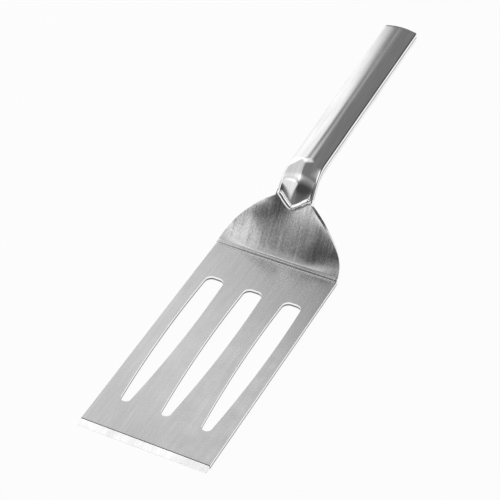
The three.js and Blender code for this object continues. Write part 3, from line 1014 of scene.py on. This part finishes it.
def soft_box(name, azimuth, elevation, distance, width, height, radiance, edge):
    """A rectangular lamp with soft edges that faces the part."""
    lamp = bpy.data.lights.new(name, "AREA")
    lamp.shape = "RECTANGLE"
    lamp.size, lamp.size_y = width, height
    lamp.energy = math.pi * width * height * radiance
    lamp.use_nodes = True
    desk = NodeDesk(lamp.node_tree)
    level = desk.add("ShaderNodeGroup", node_tree=soft_edge_group())
    desk.feed(edge, level.inputs["Edge"])
    desk.feed(level.outputs["Level"], lamp.node_tree.nodes["Emission"].inputs["Strength"])
    holder = bpy.data.objects.new(name, lamp)
    bpy.context.scene.collection.objects.link(holder)
    towards = direction(azimuth, elevation)
    holder.location = towards * distance
    holder.rotation_euler = (-towards).to_track_quat("-Z", "Y").to_euler()


class SPATULA_OT_blade(bpy.types.Operator):
    """Models the slotted blade with its shoulder, neck and tang"""

    bl_idname = "spatula.blade"
    bl_label = "Blade"

    def execute(self, context):
        scene = context.scene
        blade = scene.spatula_blade
        sheet = SheetForm(scene)
        piece = flat_plate(blade, sheet)
        piece.name = "pressed_blade"
        raise_shoulder(piece, blade, sheet)
        bpy.ops.object.mode_set(mode="OBJECT")
        cutters = [slot_cutter(blade, sheet, row * blade.slot_pitch) for row in (-1, 0, 1)]
        cutters += [tang_cutter(sheet, side) for side in (-1, 1)]
        for cutter in cutters:
            apply_modifier(piece, "BOOLEAN", operation="DIFFERENCE", object=cutter, solver="EXACT")
            bpy.data.objects.remove(cutter)
        apply_modifier(
            piece,
            "BEVEL",
            width=blade.edge_round,
            segments=ROUND_SEGMENTS,
            limit_method="ANGLE",
            angle_limit=ROUND_ANGLE,
            harden_normals=False,
        )
        shade(piece)
        finish_piece(piece, "blade", brushed_steel(scene))
        return {"FINISHED"}


class SPATULA_OT_handle_shells(bpy.types.Operator):
    """Models the upper and the lower shell of the handle"""

    bl_idname = "spatula.handle_shells"
    bl_label = "Handle Shells"

    def execute(self, context):
        scene = context.scene
        handle = HandleForm(scene, SheetForm(scene))
        stations = handle.stations()
        last_x, _, last_drawn = stations[-1]
        stations.append((last_x, 0, last_drawn))
        upper = loft("handle_top_shell", [handle.upper_row(*s) for s in stations], closed=False)
        lower = loft("handle_bottom_shell", [handle.lower_row(*s) for s in stations], closed=False)
        material = polished_steel(scene)
        for piece, node in ((upper, "handle_upper_shell"), (lower, "handle_lower_shell")):
            thicken(piece, scene.spatula_handle.wall)
            shade(piece)
            finish_piece(piece, node, material)
        return {"FINISHED"}


class SPATULA_OT_handle_seam(bpy.types.Operator):
    """Models the ground bead that closes the handle along both sides and round its butt"""

    bl_idname = "spatula.handle_seam"
    bl_label = "Handle Seam"

    def execute(self, context):
        scene = context.scene
        handle = HandleForm(scene, SheetForm(scene))
        sides = [(x, handle.half_width(x) - drawn) for x, _, drawn in handle.stations()]
        left = [handle.seam_row(x, half, half, Vector((0, 1, 0))) for x, half in sides]
        right = [handle.seam_row(x, -half, half, Vector((0, -1, 0))) for x, half in reversed(sides)]
        end_x, end_half = sides[-1]
        across = spread(end_half, -end_half, SEAM_TURN_STEPS)[:-1]
        butt = [handle.seam_row(end_x, y, end_half, Vector((0, 0, 0))) for y in across]
        piece = loft("handle_seam_bead", left + butt + right, closed=False)
        thicken(piece, scene.spatula_handle.wall)
        shade(piece)
        # The seam bead is real; its dark colour is painted shade.
        finish_piece(piece, "seam_weld", seam_painted_shade_steel(scene))
        return {"FINISHED"}


class SPATULA_OT_neck_beads(bpy.types.Operator):
    """Models the weld beads over and under the neck"""

    bl_idname = "spatula.neck_beads"
    bl_label = "Neck Beads"

    def execute(self, context):
        scene = context.scene
        sheet = SheetForm(scene)
        beads = (("neck_bead_over", 1, "neck_weld_top"), ("neck_bead_under", -1, "neck_weld_bottom"))
        material = polished_weld(scene)
        for name, side, node in beads:
            piece = loft(name, neck_bead_rows(scene, sheet, side), closed=True)
            shade(piece)
            finish_piece(piece, node, material)
        return {"FINISHED"}


class SPATULA_OT_stage(bpy.types.Operator):
    """Sets up the floor, the lamps, the room and the camera"""

    bl_idname = "spatula.stage"
    bl_label = "Stage"

    def execute(self, context):
        scene = context.scene
        studio = scene.spatula_studio
        self.add_floor(studio)
        for name, lamp in LAMPS.items():
            soft_box(name, *lamp)
        self.add_room(scene, studio)
        self.add_camera(scene, studio)
        scene.view_settings.view_transform = "Standard"
        return {"FINISHED"}

    def add_floor(self, studio):
        bpy.ops.object.select_all(action="DESELECT")
        bpy.ops.mesh.primitive_plane_add(size=studio.floor_size, location=(0, 0, -FLOOR_GAP))
        floor = bpy.context.object
        floor.name = "floor"
        floor.data.materials.append(floor_material(studio))

    def add_room(self, scene, studio):
        scene.world = bpy.data.worlds.new("room")
        scene.world.use_nodes = True
        desk = NodeDesk(scene.world.node_tree)
        look = desk.add("ShaderNodeTexCoord").outputs["Generated"]
        corners = []
        for azimuth, elevation, *reach in DARK_CORNERS:
            nearness = desk.add("ShaderNodeVectorMath", operation="DOT_PRODUCT")
            desk.feed(look, nearness.inputs[0])
            desk.feed(direction(azimuth, elevation), nearness.inputs[1])
            limits = [math.cos(math.radians(away)) for away in reach]
            near = nearness.outputs["Value"]
            corners.append(desk.ranged(near, limits, (0, 1), interpolation_type="SMOOTHSTEP"))
        colour = desk.add("ShaderNodeMix", data_type="RGBA")
        desk.feed(desk.math("MAXIMUM", *corners), colour.inputs["Factor"])
        desk.feed((*studio.room_colour, 1), colour.inputs["A"])
        desk.feed((*studio.corner_colour, 1), colour.inputs["B"])
        desk.feed(colour.outputs["Result"], scene.world.node_tree.nodes["Background"].inputs["Color"])

    def add_camera(self, scene, studio):
        sheet = SheetForm(scene)
        aim = Vector((sheet.crease_x + studio.aim_forward, studio.aim_left, sheet.sheet))
        level = math.cos(studio.elevation)
        back = Vector((
            math.sin(studio.azimuth) * level,
            -math.cos(studio.azimuth) * level,
            math.sin(studio.elevation),
        ))
        lens = bpy.data.cameras.new("camera")
        lens.lens = studio.lens
        camera = bpy.data.objects.new("camera", lens)
        scene.collection.objects.link(camera)
        camera.location = aim + back * studio.distance
        camera.rotation_euler = (-back).to_track_quat("-Z", "Y").to_euler()
        scene.camera = camera


class SPATULA_PT_sidebar(bpy.types.Panel):
    """Lists the spatula's sizes, finishes and pieces"""

    bl_idname = "SPATULA_PT_sidebar"
    bl_label = "Slotted Spatula"
    bl_space_type = "VIEW_3D"
    bl_region_type = "UI"
    bl_category = "Spatula"

    def draw(self, context):
        for group in SETTINGS:
            settings = getattr(context.scene, group)
            box = self.layout.box()
            for name in settings.__annotations__:
                box.prop(settings, name)
        for operator in OPERATORS:
            self.layout.operator(operator.bl_idname)


SETTINGS = {
    "spatula_blade": SpatulaBladeSizes,
    "spatula_neck": SpatulaNeckSizes,
    "spatula_handle": SpatulaHandleSizes,
    "spatula_finish": SpatulaFinish,
    "spatula_studio": SpatulaStudio,
}
OPERATORS = (
    SPATULA_OT_blade,
    SPATULA_OT_handle_shells,
    SPATULA_OT_handle_seam,
    SPATULA_OT_neck_beads,
    SPATULA_OT_stage,
)


def register():
    for kind in (*SETTINGS.values(), *OPERATORS, SPATULA_PT_sidebar):
        bpy.utils.register_class(kind)
    for name, kind in SETTINGS.items():
        setattr(bpy.types.Scene, name, PointerProperty(type=kind))


def unregister():
    for name in SETTINGS:
        delattr(bpy.types.Scene, name)
    for kind in (SPATULA_PT_sidebar, *reversed(OPERATORS), *SETTINGS.values()):
        bpy.utils.unregister_class(kind)


def main():
    register()
    bpy.ops.spatula.blade()
    bpy.ops.spatula.handle_shells()
    bpy.ops.spatula.handle_seam()
    bpy.ops.spatula.neck_beads()
    bpy.ops.spatula.stage()


if __name__ == "__main__":
    main()
